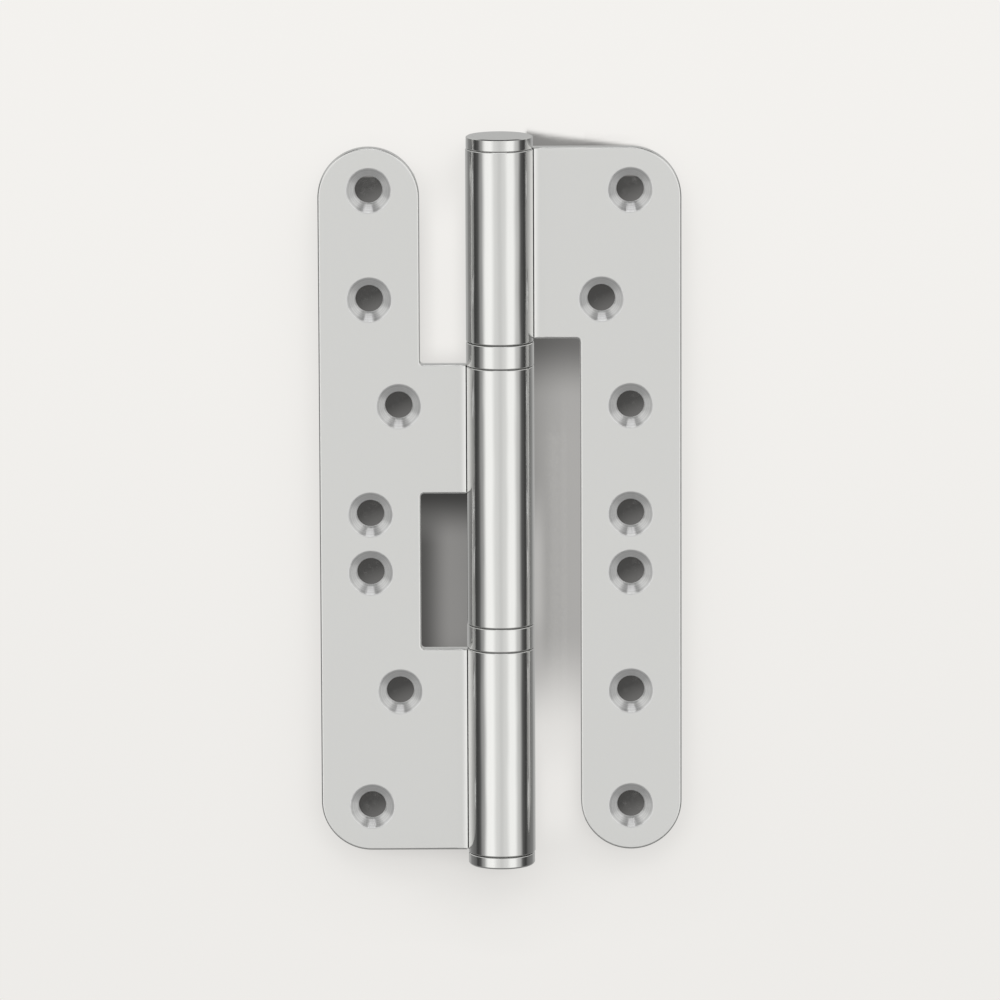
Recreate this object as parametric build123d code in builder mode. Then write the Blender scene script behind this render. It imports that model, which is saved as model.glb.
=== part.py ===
from build123d import *

import os
from math import sqrt

# Lift-off hinge, lying open flat. Millimetres, Z up along the pin axis, origin on
# that axis at mid-height. The door leaf reaches to +X and the frame leaf to -X.
# Both leaves show their countersunk fronts to -Y.
FRAME_SIDE = -1
DOOR_SIDE = 1

# Leaves
LEAF_LENGTH = 200.0
LEAF_REACH = 50.75
STRIP_WIDTH = 28.35
SHEET_THICKNESS = 4.0
SHUT_GAP = 2.0
CORNER_RADIUS = 14.175
NOTCH_RADIUS = 1.0
EDGE_BREAK = 0.3

# Barrel, rolled from the sheet of each leaf
BARREL_RADIUS = 9.5
KNUCKLE_CHAMFER = 0.3
BACK_BEND_RADIUS = 3.0
THROAT_BEND_RADIUS = 2.0
SEAM_GAP = 0.4
SEAM_ROUND = 0.5

# Heights along the barrel
DOOR_KNUCKLE_LENGTH = 54.25
BEARING_HEIGHT = 7.0
MIDDLE_KNUCKLE_LENGTH = 73.3
SPACER_HEIGHT = 7.0
TAB_HEIGHT = 36.45
ROOT_STEP = 0.5

# Screw holes, countersunk from the front for 6 mm screws
OUTER_COLUMN = 36.5
INNER_COLUMN = 28.4
SCREW_HOLE_RADIUS = 3.8
COUNTERSINK_RADIUS = 6.25
COUNTERSINK_ANGLE = 90.0

# Rows of screw holes, counted from the top: three are set out from the leaf's
# top, two from mid-height and two from its foot
FIRST_ROW_DROP = 12.0
SECOND_ROW_DROP = 42.8
THIRD_ROW_DROP = 73.0
FOURTH_ROW_HEIGHT = -3.8
FIFTH_ROW_HEIGHT = -20.4
SIXTH_ROW_RISE = 45.6
SEVENTH_ROW_RISE = 12.6
FRAME_INNER_ROWS = (3, 6)
DOOR_INNER_ROWS = (2,)

# Pin and bushes
RUNNING_CLEARANCE = 0.05
SEAT_CLEARANCE = 0.01
BUSH_WALL = 1.0
BUSH_LENGTH = 19.5
BUSH_END_GAP = 0.5
BUSH_SPLIT = 0.4
PIN_END_GAP = 0.5
PIN_LEAD_IN = 1.6
PIN_TAIL_CHAMFER = 0.8
SHOULDER_DROP = 0.5

# End caps
CAP_HEIGHT = 3.5
CAP_EDGE_BREAK = 0.3
SPIGOT_LENGTH = 8.0
SPIGOT_CHAMFER = 0.6

# Thrust ball bearing between the leaves
SLEEVE_WALL = 0.8
SLEEVE_END_GAP = 0.1
RACE_THICKNESS = 2.6
RACE_EDGE_BREAK = 0.2
BALL_COUNT = 12
BALL_RADIUS = 1.25
GROOVE_RADIUS = 1.35
CAGE_THICKNESS = 1.2
CAGE_CLEARANCE = 0.1
POCKET_CLEARANCE = 0.05

# Sizes that follow from those above
LEAF_TOP = LEAF_LENGTH / 2
LEAF_FOOT = -LEAF_LENGTH / 2
FRONT_FACE = SHUT_GAP / 2
BACK_FACE = FRONT_FACE + SHEET_THICKNESS
STRIP_INNER = LEAF_REACH - STRIP_WIDTH
STRIP_MIDDLE = LEAF_REACH - STRIP_WIDTH / 2
SCREW_ROWS = (
    LEAF_TOP - FIRST_ROW_DROP,
    LEAF_TOP - SECOND_ROW_DROP,
    LEAF_TOP - THIRD_ROW_DROP,
    FOURTH_ROW_HEIGHT,
    FIFTH_ROW_HEIGHT,
    LEAF_FOOT + SIXTH_ROW_RISE,
    LEAF_FOOT + SEVENTH_ROW_RISE,
)
BORE_RADIUS = BARREL_RADIUS - SHEET_THICKNESS
SHEET_START = sqrt(BARREL_RADIUS**2 - BACK_FACE**2)

DOOR_KNUCKLE_FOOT = LEAF_TOP - DOOR_KNUCKLE_LENGTH
MIDDLE_KNUCKLE_TOP = DOOR_KNUCKLE_FOOT - BEARING_HEIGHT
MIDDLE_KNUCKLE_FOOT = MIDDLE_KNUCKLE_TOP - MIDDLE_KNUCKLE_LENGTH
LOWER_KNUCKLE_TOP = MIDDLE_KNUCKLE_FOOT - SPACER_HEIGHT
TAB_FOOT = MIDDLE_KNUCKLE_TOP - TAB_HEIGHT
DOOR_ROOT_FOOT = DOOR_KNUCKLE_FOOT + ROOT_STEP
FRAME_ROOT_TOP = LOWER_KNUCKLE_TOP - ROOT_STEP

PIN_RADIUS = BORE_RADIUS - RUNNING_CLEARANCE
BUSH_OUTER_RADIUS = BORE_RADIUS - SEAT_CLEARANCE
BUSH_INNER_RADIUS = BUSH_OUTER_RADIUS - BUSH_WALL
STUB_RADIUS = BUSH_INNER_RADIUS - RUNNING_CLEARANCE
SPIGOT_RADIUS = BORE_RADIUS - SEAT_CLEARANCE
PIN_FOOT = LEAF_FOOT + SPIGOT_LENGTH
PIN_SHOULDER = DOOR_KNUCKLE_FOOT - SHOULDER_DROP
PIN_TOP = LEAF_TOP - SPIGOT_LENGTH - PIN_END_GAP

SLEEVE_INNER_RADIUS = BARREL_RADIUS - SLEEVE_WALL
RACE_OUTER_RADIUS = SLEEVE_INNER_RADIUS - RUNNING_CLEARANCE
BALL_CIRCLE_RADIUS = (BORE_RADIUS + RACE_OUTER_RADIUS) / 2
BALL_HEIGHT = (MIDDLE_KNUCKLE_TOP + DOOR_KNUCKLE_FOOT) / 2
GROOVE_OFFSET = GROOVE_RADIUS - BALL_RADIUS - RUNNING_CLEARANCE

# The leaves' sheet stands behind this plane, whose local Y is the pin's direction
FRONT_PLANE = Plane.XZ.offset(-FRONT_FACE)


def rolled_section(side):
    """Section of a knuckle: the sheet turns back at the throat, runs once round
    the pin and ends at a narrow seam just short of its own front face."""
    throat_x = side * sqrt(BORE_RADIUS**2 - FRONT_FACE**2)
    back_x = side * SHEET_START
    seam_y = FRONT_FACE - SEAM_GAP
    with BuildSketch() as section:
        Circle(BARREL_RADIUS)
        with Locations((side * SHEET_START, (FRONT_FACE + BACK_FACE) / 2)):
            Rectangle(2 * BACK_BEND_RADIUS, SHEET_THICKNESS)
        fillet(section.vertices().sort_by_distance((back_x, BACK_FACE))[0], BACK_BEND_RADIUS)
        Circle(BORE_RADIUS, mode=Mode.SUBTRACT)
        with Locations((side * BARREL_RADIUS / 2, FRONT_FACE - SEAM_GAP / 2)):
            Rectangle(BARREL_RADIUS + SEAM_GAP, SEAM_GAP, mode=Mode.SUBTRACT)
        fillet(section.vertices().sort_by_distance((throat_x, FRONT_FACE))[0], THROAT_BEND_RADIUS)
        lip = section.vertices().sort_by_distance((side * BARREL_RADIUS, seam_y))[0]
        fillet(lip, SEAM_ROUND)
    return section.sketch


def neck_section(side):
    """The part of the knuckle's section where the sheet runs into the roll."""
    reach = BARREL_RADIUS + BACK_BEND_RADIUS
    tangent_x = sqrt(reach**2 - (BACK_FACE + BACK_BEND_RADIUS) ** 2) * BARREL_RADIUS / reach
    with BuildSketch() as neck:
        add(rolled_section(side))
        with Locations((side * (tangent_x + reach) / 2, FRONT_FACE + reach / 2)):
            Rectangle(reach - tangent_x, reach, mode=Mode.INTERSECT)
    return neck.sketch


def knuckle(side, foot, top, root_foot, root_top):
    """A knuckle between two heights. The sheet leaves it over its root only, and
    elsewhere the roll stands free, trimmed flush to the barrel."""
    with BuildPart() as rolled:
        with BuildSketch(Plane.XY.offset(foot)):
            Circle(BARREL_RADIUS)
        extrude(amount=top - foot)
        chamfer(rolled.edges().filter_by(GeomType.CIRCLE), KNUCKLE_CHAMFER)
        with BuildSketch(Plane.XY.offset(foot)):
            add(rolled_section(side))
        extrude(amount=top - foot, mode=Mode.INTERSECT)
        with BuildSketch(Plane.XY.offset(root_foot)):
            add(neck_section(side))
        extrude(amount=root_top - root_foot)
    return rolled.part


def plate_span(side, near, far, low, high):
    """Rectangle of a leaf between two distances from the axis and two heights."""
    with Locations((side * (near + far) / 2, (low + high) / 2)):
        Rectangle(far - near, high - low)


def notch_corner(sketch, side, height):
    """Round the inner corner where a root meets the strip at a height."""
    corner = sketch.vertices().sort_by_distance((side * STRIP_INNER, height))[0]
    fillet(corner, NOTCH_RADIUS)


def screw_holes(side, inner_rows):
    """Countersunk holes of one leaf: one in each row, in the inner column where
    the row is named and else in the outer one."""
    places = []
    for row, height in enumerate(SCREW_ROWS, start=1):
        column = INNER_COLUMN if row in inner_rows else OUTER_COLUMN
        places.append((side * column, height))
    with Locations(FRONT_PLANE):
        with Locations(*places):
            CounterSinkHole(
                SCREW_HOLE_RADIUS, COUNTERSINK_RADIUS, counter_sink_angle=COUNTERSINK_ANGLE
            )


# Frame leaf: its strip has a full-round top, a tab to the middle knuckle and a
# long root to the lower knuckle, with an open slot between the two
middle_knuckle = knuckle(
    FRAME_SIDE, MIDDLE_KNUCKLE_FOOT, MIDDLE_KNUCKLE_TOP, TAB_FOOT, MIDDLE_KNUCKLE_TOP
)
lower_knuckle = knuckle(FRAME_SIDE, LEAF_FOOT, LOWER_KNUCKLE_TOP, LEAF_FOOT, FRAME_ROOT_TOP)
with BuildPart() as frame_leaf:
    with BuildSketch(FRONT_PLANE) as frame_outline:
        plate_span(FRAME_SIDE, STRIP_INNER, LEAF_REACH, LEAF_FOOT, LEAF_TOP - STRIP_WIDTH / 2)
        with Locations((FRAME_SIDE * STRIP_MIDDLE, LEAF_TOP - STRIP_WIDTH / 2)):
            Circle(STRIP_WIDTH / 2)
        plate_span(FRAME_SIDE, SHEET_START, STRIP_MIDDLE, TAB_FOOT, MIDDLE_KNUCKLE_TOP)
        plate_span(FRAME_SIDE, SHEET_START, STRIP_MIDDLE, LEAF_FOOT, FRAME_ROOT_TOP)
        notch_corner(frame_outline, FRAME_SIDE, MIDDLE_KNUCKLE_TOP)
        notch_corner(frame_outline, FRAME_SIDE, TAB_FOOT)
        notch_corner(frame_outline, FRAME_SIDE, FRAME_ROOT_TOP)
        frame_corner = (FRAME_SIDE * LEAF_REACH, LEAF_FOOT)
        fillet(frame_outline.vertices().sort_by_distance(frame_corner)[0], CORNER_RADIUS)
    extrude(amount=-SHEET_THICKNESS)
    chamfer(frame_leaf.faces().filter_by(Axis.Y).edges(), EDGE_BREAK)
    add(middle_knuckle)
    add(lower_knuckle)
    screw_holes(FRAME_SIDE, FRAME_INNER_ROWS)
frame_leaf.part.label = "frame_leaf"

# Door leaf: a root at the top carries the upper knuckle, and its strip hangs
# down beside the barrel to a full-round end
upper_knuckle = knuckle(DOOR_SIDE, DOOR_KNUCKLE_FOOT, LEAF_TOP, DOOR_ROOT_FOOT, LEAF_TOP)
with BuildPart() as door_leaf:
    with BuildSketch(FRONT_PLANE) as door_outline:
        plate_span(DOOR_SIDE, STRIP_INNER, LEAF_REACH, LEAF_FOOT + STRIP_WIDTH / 2, LEAF_TOP)
        with Locations((DOOR_SIDE * STRIP_MIDDLE, LEAF_FOOT + STRIP_WIDTH / 2)):
            Circle(STRIP_WIDTH / 2)
        plate_span(DOOR_SIDE, SHEET_START, STRIP_MIDDLE, DOOR_ROOT_FOOT, LEAF_TOP)
        notch_corner(door_outline, DOOR_SIDE, DOOR_ROOT_FOOT)
        door_corner = (DOOR_SIDE * LEAF_REACH, LEAF_TOP)
        fillet(door_outline.vertices().sort_by_distance(door_corner)[0], CORNER_RADIUS)
    extrude(amount=-SHEET_THICKNESS)
    chamfer(door_leaf.faces().filter_by(Axis.Y).edges(), EDGE_BREAK)
    add(upper_knuckle)
    screw_holes(DOOR_SIDE, DOOR_INNER_ROWS)
door_leaf.part.label = "door_leaf"

# Pin, fixed in the frame leaf's two knuckles, with a slimmer stub for the bushes
with BuildPart() as hinge_pin:
    with BuildSketch(Plane.XZ):
        with BuildLine():
            Polyline(
                (0, PIN_FOOT),
                (PIN_RADIUS - PIN_TAIL_CHAMFER, PIN_FOOT),
                (PIN_RADIUS, PIN_FOOT + PIN_TAIL_CHAMFER),
                (PIN_RADIUS, PIN_SHOULDER),
                (STUB_RADIUS, PIN_SHOULDER),
                (STUB_RADIUS, PIN_TOP - 2 * PIN_LEAD_IN),
                (STUB_RADIUS - PIN_LEAD_IN, PIN_TOP),
                (0, PIN_TOP),
                close=True,
            )
        make_face()
    revolve(axis=Axis.Z)
hinge_pin.part.label = "hinge_pin"


def wrapped_bush(foot):
    """Bush rolled from strip, with its split line at the back."""
    with BuildPart() as bush:
        with BuildSketch(Plane.XY.offset(foot)):
            Circle(BUSH_OUTER_RADIUS)
            Circle(BUSH_INNER_RADIUS, mode=Mode.SUBTRACT)
            with Locations((0, BUSH_OUTER_RADIUS)):
                Rectangle(BUSH_SPLIT, 2 * BUSH_WALL + BUSH_SPLIT, mode=Mode.SUBTRACT)
        extrude(amount=BUSH_LENGTH)
    return bush


# Bushes pressed into the two ends of the upper knuckle
lower_bush = wrapped_bush(DOOR_KNUCKLE_FOOT + BUSH_END_GAP)
lower_bush.part.label = "lower_bush"
upper_bush = wrapped_bush(LEAF_TOP - SPIGOT_LENGTH - BUSH_END_GAP - BUSH_LENGTH)
upper_bush.part.label = "upper_bush"


def end_cap(seat):
    """Turned cap on a barrel end, with a spigot that fills the end of the bore.
    The seat plane lies on the barrel end and faces out of it."""
    with BuildPart() as cap:
        with BuildSketch(seat):
            Circle(BARREL_RADIUS)
        extrude(amount=CAP_HEIGHT)
        rims = cap.edges().filter_by(GeomType.CIRCLE).sort_by_distance(seat.origin)
        chamfer(rims[0], KNUCKLE_CHAMFER)
        rims = cap.edges().filter_by(GeomType.CIRCLE).sort_by_distance(seat.origin)
        chamfer(rims[-1], CAP_EDGE_BREAK)
        with BuildSketch(seat):
            Circle(SPIGOT_RADIUS)
        extrude(amount=-SPIGOT_LENGTH)
        tips = cap.edges().filter_by(GeomType.CIRCLE).sort_by(Axis(seat.origin, seat.z_dir))
        chamfer(tips[0], SPIGOT_CHAMFER)
    return cap


top_cap = end_cap(Plane.XY.offset(LEAF_TOP))
top_cap.part.label = "top_cap"
bottom_cap = end_cap(Plane((0, 0, LEAF_FOOT), z_dir=(0, 0, -1)))
bottom_cap.part.label = "bottom_cap"

# Plain ring that fills the space between the frame leaf's two knuckles
with BuildPart() as spacer_ring:
    with BuildSketch(Plane.XY.offset(LOWER_KNUCKLE_TOP)):
        Circle(BARREL_RADIUS)
        Circle(BORE_RADIUS, mode=Mode.SUBTRACT)
    extrude(amount=SPACER_HEIGHT)
    rims = spacer_ring.edges().filter_by(GeomType.CIRCLE)
    chamfer(rims.group_by(SortBy.RADIUS)[-1], KNUCKLE_CHAMFER)
spacer_ring.part.label = "spacer_ring"

# Thrust bearing: a sleeve round two grooved races, with caged balls between them
with BuildPart() as bearing_sleeve:
    with BuildSketch(Plane.XY.offset(MIDDLE_KNUCKLE_TOP)):
        Circle(BARREL_RADIUS)
        Circle(SLEEVE_INNER_RADIUS, mode=Mode.SUBTRACT)
    extrude(amount=BEARING_HEIGHT - SLEEVE_END_GAP)
    rims = bearing_sleeve.edges().filter_by(GeomType.CIRCLE)
    chamfer(rims.group_by(SortBy.RADIUS)[-1], KNUCKLE_CHAMFER)
bearing_sleeve.part.label = "bearing_sleeve"


def bearing_race(seat, toward_balls):
    """Race on a seat height, with its ball groove turned into the face that
    looks toward the balls: up for the lower race and down for the upper one."""
    with BuildPart() as race:
        with BuildSketch(Plane.XY.offset(seat)):
            Circle(RACE_OUTER_RADIUS)
            Circle(BORE_RADIUS, mode=Mode.SUBTRACT)
        extrude(amount=toward_balls * RACE_THICKNESS)
        rims = race.edges().filter_by(GeomType.CIRCLE)
        chamfer(rims.group_by(SortBy.RADIUS)[-1], RACE_EDGE_BREAK)
        with BuildSketch(Plane.XZ):
            with Locations((BALL_CIRCLE_RADIUS, BALL_HEIGHT + toward_balls * GROOVE_OFFSET)):
                Circle(GROOVE_RADIUS)
        revolve(axis=Axis.Z, mode=Mode.SUBTRACT)
    return race


lower_race = bearing_race(MIDDLE_KNUCKLE_TOP, 1)
lower_race.part.label = "lower_race"
upper_race = bearing_race(DOOR_KNUCKLE_FOOT, -1)
upper_race.part.label = "upper_race"

with BuildPart() as ball_cage:
    with BuildSketch(Plane.XY.offset(BALL_HEIGHT - CAGE_THICKNESS / 2)):
        Circle(SLEEVE_INNER_RADIUS - CAGE_CLEARANCE)
        Circle(PIN_RADIUS + CAGE_CLEARANCE, mode=Mode.SUBTRACT)
        with PolarLocations(BALL_CIRCLE_RADIUS, BALL_COUNT):
            Circle(BALL_RADIUS + POCKET_CLEARANCE, mode=Mode.SUBTRACT)
    extrude(amount=CAGE_THICKNESS)
ball_cage.part.label = "ball_cage"

balls = []
for number, place in enumerate(PolarLocations(BALL_CIRCLE_RADIUS, BALL_COUNT), start=1):
    with BuildPart(Plane.XY.offset(BALL_HEIGHT)) as ball:
        with Locations(place):
            Sphere(BALL_RADIUS)
    ball.part.label = f"ball_{number:02d}"
    balls.append(ball)

os.makedirs("parts", exist_ok=True)
export_step(frame_leaf.part, "parts/frame_leaf.step")
export_step(door_leaf.part, "parts/door_leaf.step")
export_step(hinge_pin.part, "parts/hinge_pin.step")
export_step(lower_bush.part, "parts/lower_bush.step")
export_step(upper_bush.part, "parts/upper_bush.step")
export_step(top_cap.part, "parts/top_cap.step")
export_step(bottom_cap.part, "parts/bottom_cap.step")
export_step(spacer_ring.part, "parts/spacer_ring.step")
export_step(bearing_sleeve.part, "parts/bearing_sleeve.step")
export_step(lower_race.part, "parts/lower_race.step")
export_step(upper_race.part, "parts/upper_race.step")
export_step(ball_cage.part, "parts/ball_cage.step")
for ball in balls:
    export_step(ball.part, f"parts/{ball.part.label}.step")
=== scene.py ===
"""Looks of a stainless lift-off door hinge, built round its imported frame.

Lengths in the dataclasses are millimetres, and MM turns them into Blender's
metres where a mesh is written. Z runs up the pin, X to the door leaf, Y to the back.
"""

import logging
import math
from dataclasses import dataclass, field
from enum import Enum, IntEnum
from typing import Callable, Sequence

import bpy
import bmesh
import numpy as np
from mathutils import Matrix, Vector
from mathutils.geometry import delaunay_2d_cdt


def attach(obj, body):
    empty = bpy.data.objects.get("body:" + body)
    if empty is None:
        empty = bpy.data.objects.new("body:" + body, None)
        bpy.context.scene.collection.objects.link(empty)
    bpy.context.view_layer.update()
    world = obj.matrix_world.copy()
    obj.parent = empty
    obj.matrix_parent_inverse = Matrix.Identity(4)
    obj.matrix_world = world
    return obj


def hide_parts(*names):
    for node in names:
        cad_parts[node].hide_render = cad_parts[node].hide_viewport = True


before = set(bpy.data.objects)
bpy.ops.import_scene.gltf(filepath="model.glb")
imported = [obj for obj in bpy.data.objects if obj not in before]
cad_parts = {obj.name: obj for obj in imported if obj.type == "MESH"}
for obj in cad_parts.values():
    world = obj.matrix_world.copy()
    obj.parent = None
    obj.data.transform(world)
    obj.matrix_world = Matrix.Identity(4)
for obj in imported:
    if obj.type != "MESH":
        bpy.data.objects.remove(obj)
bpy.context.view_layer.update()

MM = 0.001
SMOOTH_LIMIT = math.radians(32)
LOG = logging.getLogger("hinge")

Array = np.ndarray
Placer = Callable[[Array, Array, Array], Array]


class Side(IntEnum):
    """Which way a leaf reaches from the pin."""

    FRAME = -1
    DOOR = 1


class Skin(IntEnum):
    """Place of a finish in the material slots of a leaf."""

    SATIN = 0
    POLISHED = 1
    TURNED = 2


class Quality(Enum):
    """How finely curves are divided, in degrees of arc for each step."""

    BARREL = 2.0
    CORNER = 3.0
    RIM = 22.5


@dataclass
class Sizes:
    """Sizes of the hinge that its pieces share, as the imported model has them."""

    barrel_radius: float = 9.5
    sheet: float = 4.0
    front_face: float = 1.0
    leaf_reach: float = 50.75
    strip_width: float = 28.35
    corner_radius: float = 14.175
    notch_radius: float = 1.0
    rim: float = 0.65
    roll_rim: float = 0.35
    top: float = 100.0
    foot: float = -100.0
    door_knuckle_foot: float = 45.75
    middle_knuckle_top: float = 38.75
    middle_knuckle_foot: float = -34.55
    lower_knuckle_top: float = -41.55
    door_root_step: float = 0.25
    frame_root_step: float = 0.7
    tab_height: float = 36.65
    back_bend: float = 3.0
    bend_reach: float = 11.3
    bend_rise: float = 5.0
    bend_end: float = 9.65
    seam_floor: float = 1.4
    lip_end: float = 0.8
    lip_round: float = 2.4
    sheet_start: float = 11.9
    sheet_overlap: float = 0.7
    corner_clear: float = 7.0
    fit: float = 0.05
    seat: float = 0.01

    @property
    def back_face(self) -> float:
        """Distance from the pin's plane to the back of the sheet."""
        return self.front_face + self.sheet

    @property
    def bore_radius(self) -> float:
        """Inside radius of the rolled knuckles."""
        return self.barrel_radius - self.sheet

    @property
    def strip_inner(self) -> float:
        """Distance from the pin's axis to the inner edge of a strip."""
        return self.leaf_reach - self.strip_width

    @property
    def strip_middle(self) -> float:
        """Distance from the pin's axis to the middle of a strip."""
        return self.leaf_reach - self.strip_width / 2


@dataclass(frozen=True)
class ScrewHole:
    """One countersunk hole: its column and height, and the radii of its form."""

    column: float
    height: float
    radius: float = 3.85
    mouth: float = 6.25
    lip: float = 0.2
    neck_round: float = 0.9
    back_break: float = 0.2

    def profile(self, front: float, back: float) -> Array:
        """Radius against depth, from the front lip down the cone to the back.

        The cone falls at 45 degrees, and each corner of the profile is a short
        arc: centre plus radius times (cos t, sin t).

        Args:
            front: Depth of the sheet's front face.
            back: Depth of its back face.

        Returns:
            Rows of (radius, depth).
        """
        turn = np.radians(np.linspace(0, 45, 4))
        bulge = self.lip / math.tan(math.radians(22.5))
        lip_r = self.mouth + self.lip - bulge * np.sin(turn)
        lip_y = front + bulge * (1 - np.cos(turn))
        bend = self.neck_round
        depth = front + self.mouth - self.radius + bend * (math.sqrt(2) - 1)
        back_turn = turn[::-1]
        neck = np.c_[self.radius + bend * (1 - np.cos(back_turn)), depth - bend * np.sin(back_turn)]
        tail = np.radians(np.linspace(0, 90, 4))
        tail_r = self.radius + self.back_break * (1 - np.cos(tail))
        tail_y = back - self.back_break * (1 - np.sin(tail))
        return np.vstack([np.c_[lip_r, lip_y], neck, np.c_[tail_r, tail_y]])


def arc(centre: Sequence[float], radius: float, start: float, stop: float, step: float) -> Array:
    """Points along an arc: centre plus radius times (cos t, sin t).

    Args:
        centre: Centre of the arc.
        radius: Its radius.
        start: First angle in degrees.
        stop: Last angle in degrees, lower than start for a clockwise arc.
        step: Largest angle between two points, in degrees.

    Returns:
        Rows of (u, v).
    """
    count = max(2, math.ceil(abs(stop - start) / step) + 1)
    turn = np.radians(np.linspace(start, stop, count))
    return np.c_[centre[0] + radius * np.cos(turn), centre[1] + radius * np.sin(turn)]


def counterclockwise(loop: Array) -> Array:
    """The loop, turned round if its signed area is negative."""
    following = np.roll(loop, -1, axis=0)
    area = np.sum(loop[:, 0] * following[:, 1] - following[:, 0] * loop[:, 1])
    return loop if area > 0 else loop[::-1]


def inset(loop: Array, amount: float) -> Array:
    """The loop moved inwards, each point along the mitre of its two sides.

    The mitre is (n1 + n2) / (1 + n1.n2) for the unit normals of the sides.
    """
    ahead = np.roll(loop, -1, axis=0) - loop
    ahead /= np.linalg.norm(ahead, axis=1, keepdims=True)
    behind = np.roll(ahead, 1, axis=0)
    normal_a = np.c_[-ahead[:, 1], ahead[:, 0]]
    normal_b = np.c_[-behind[:, 1], behind[:, 0]]
    share = 1 + np.sum(normal_a * normal_b, axis=1, keepdims=True)
    return loop + amount * (normal_a + normal_b) / np.maximum(share, 0.3)


def rounded_edge(radius: float) -> Array:
    """Rows of (inset, depth) for a quarter-round edge, from the face outwards."""
    turn = np.radians(np.arange(0, 90 + Quality.RIM.value, Quality.RIM.value))
    return np.c_[radius * (1 - np.sin(turn)), radius * (1 - np.cos(turn))]


def inside(points: Array, loop: Array) -> Array:
    """Which points lie in a closed loop, by counting crossings to the right."""
    start, stop = loop, np.roll(loop, -1, axis=0)
    x, y = points[:, 0:1], points[:, 1:2]
    rising = (start[:, 1] > y) != (stop[:, 1] > y)
    run = stop[:, 1] - start[:, 1]
    run = np.where(np.abs(run) < 1e-12, 1e-12, run)
    crossing = start[:, 0] + (y - start[:, 1]) * (stop[:, 0] - start[:, 0]) / run
    return (rising & (crossing > x)).sum(axis=1) % 2 == 1


class Patchwork:
    """Patches of surface that are welded into one closed mesh."""

    def __init__(self, name: str) -> None:
        """Start an empty mesh under a piece's name."""
        self.name = name
        self._points: list[Array] = []
        self._faces: list[Array] = []
        self._skins: list[Array] = []
        self._count = 0

    def _add(self, points: Array, faces: Array, skin: int | Array) -> None:
        """Keep points and four-cornered faces, a triangle with its last corner repeated."""
        self._points.append(points)
        self._faces.append(faces + self._count)
        self._skins.append(np.broadcast_to(skin, len(faces)))
        self._count += len(points)

    def band(self, rows: Array, skin: int | Array = 0, closed: bool = True) -> None:
        """A grid of points as faces: row by row, closed round each row.

        Args:
            rows: Points of shape (rows, columns, 3), in millimetres.
            skin: Material slot of the faces, or one for each strip of them.
            closed: Whether each row is a ring.
        """
        high, wide = rows.shape[:2]
        index = np.arange(high * wide).reshape(high, wide)
        beside = np.roll(index, -1, axis=1)
        cut = wide if closed else wide - 1
        corners = (index[:-1], beside[:-1], beside[1:], index[1:])
        faces = np.stack([c[:, :cut].ravel() for c in corners], axis=1)
        self._add(rows.reshape(-1, 3), faces, np.repeat(np.broadcast_to(skin, high - 1), cut))

    def face(self, outline: Array, holes: Sequence[Array], place: Callable, skin: int = 0) -> None:
        """A flat face inside an outline and outside its holes.

        A constrained triangulation holds the loops, and the triangles whose
        middle lies outside the face are dropped.

        Args:
            outline: Outer loop.
            holes: Inner loops.
            place: Puts the flat points into space.
            skin: Material slot of the faces.
        """
        loops = [outline, *holes]
        flat = np.vstack(loops)
        starts = np.cumsum([0] + [len(loop) for loop in loops])
        edges = [
            np.c_[np.arange(a, b), np.roll(np.arange(a, b), -1)]
            for a, b in zip(starts[:-1], starts[1:])
        ]
        found = delaunay_2d_cdt(
            [Vector(p) for p in flat], np.vstack(edges).tolist(), [], 0, 1e-7
        )
        points = flat[[sources[0] for sources in found[3]]]
        triangles = np.array([f for f in found[2] if len(f) == 3])
        middle = points[triangles].mean(axis=1)
        keep = inside(middle, outline)
        for hole in holes:
            keep &= ~inside(middle, hole)
        triangles = triangles[keep]
        self._add(place(points), np.c_[triangles, triangles[:, 2]], skin)

    def build(self, materials: Sequence[bpy.types.Material]) -> bpy.types.Object:
        """Weld the patches, point their faces outwards and link the object."""
        points = np.vstack(self._points)
        _, first, same = np.unique(
            np.round(points * 1e5).astype(np.int64), axis=0, return_index=True, return_inverse=True
        )
        faces = same.ravel()[np.vstack(self._faces)]
        skins = np.concatenate(self._skins)
        changed = faces != np.roll(faces, -1, axis=1)
        sides = changed.sum(axis=1)
        faces, skins, changed, sides = (a[sides > 2] for a in (faces, skins, changed, sides))
        corners = faces[changed]
        mesh = bpy.data.meshes.new(self.name)
        mesh.vertices.add(len(first))
        mesh.vertices.foreach_set("co", (points[first] * MM).ravel())
        mesh.loops.add(len(corners))
        mesh.loops.foreach_set("vertex_index", corners)
        mesh.polygons.add(len(faces))
        mesh.polygons.foreach_set("loop_start", np.cumsum(sides) - sides)
        mesh.polygons.foreach_set("material_index", skins)
        mesh.update(calc_edges=True)
        mesh.validate()
        shell = bmesh.new()
        shell.from_mesh(mesh)
        bmesh.ops.recalc_face_normals(shell, faces=shell.faces)
        shell.to_mesh(mesh)
        shell.free()
        for material in materials:
            mesh.materials.append(material)
        piece = bpy.data.objects.new(self.name, mesh)
        bpy.context.scene.collection.objects.link(piece)
        return piece


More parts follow.
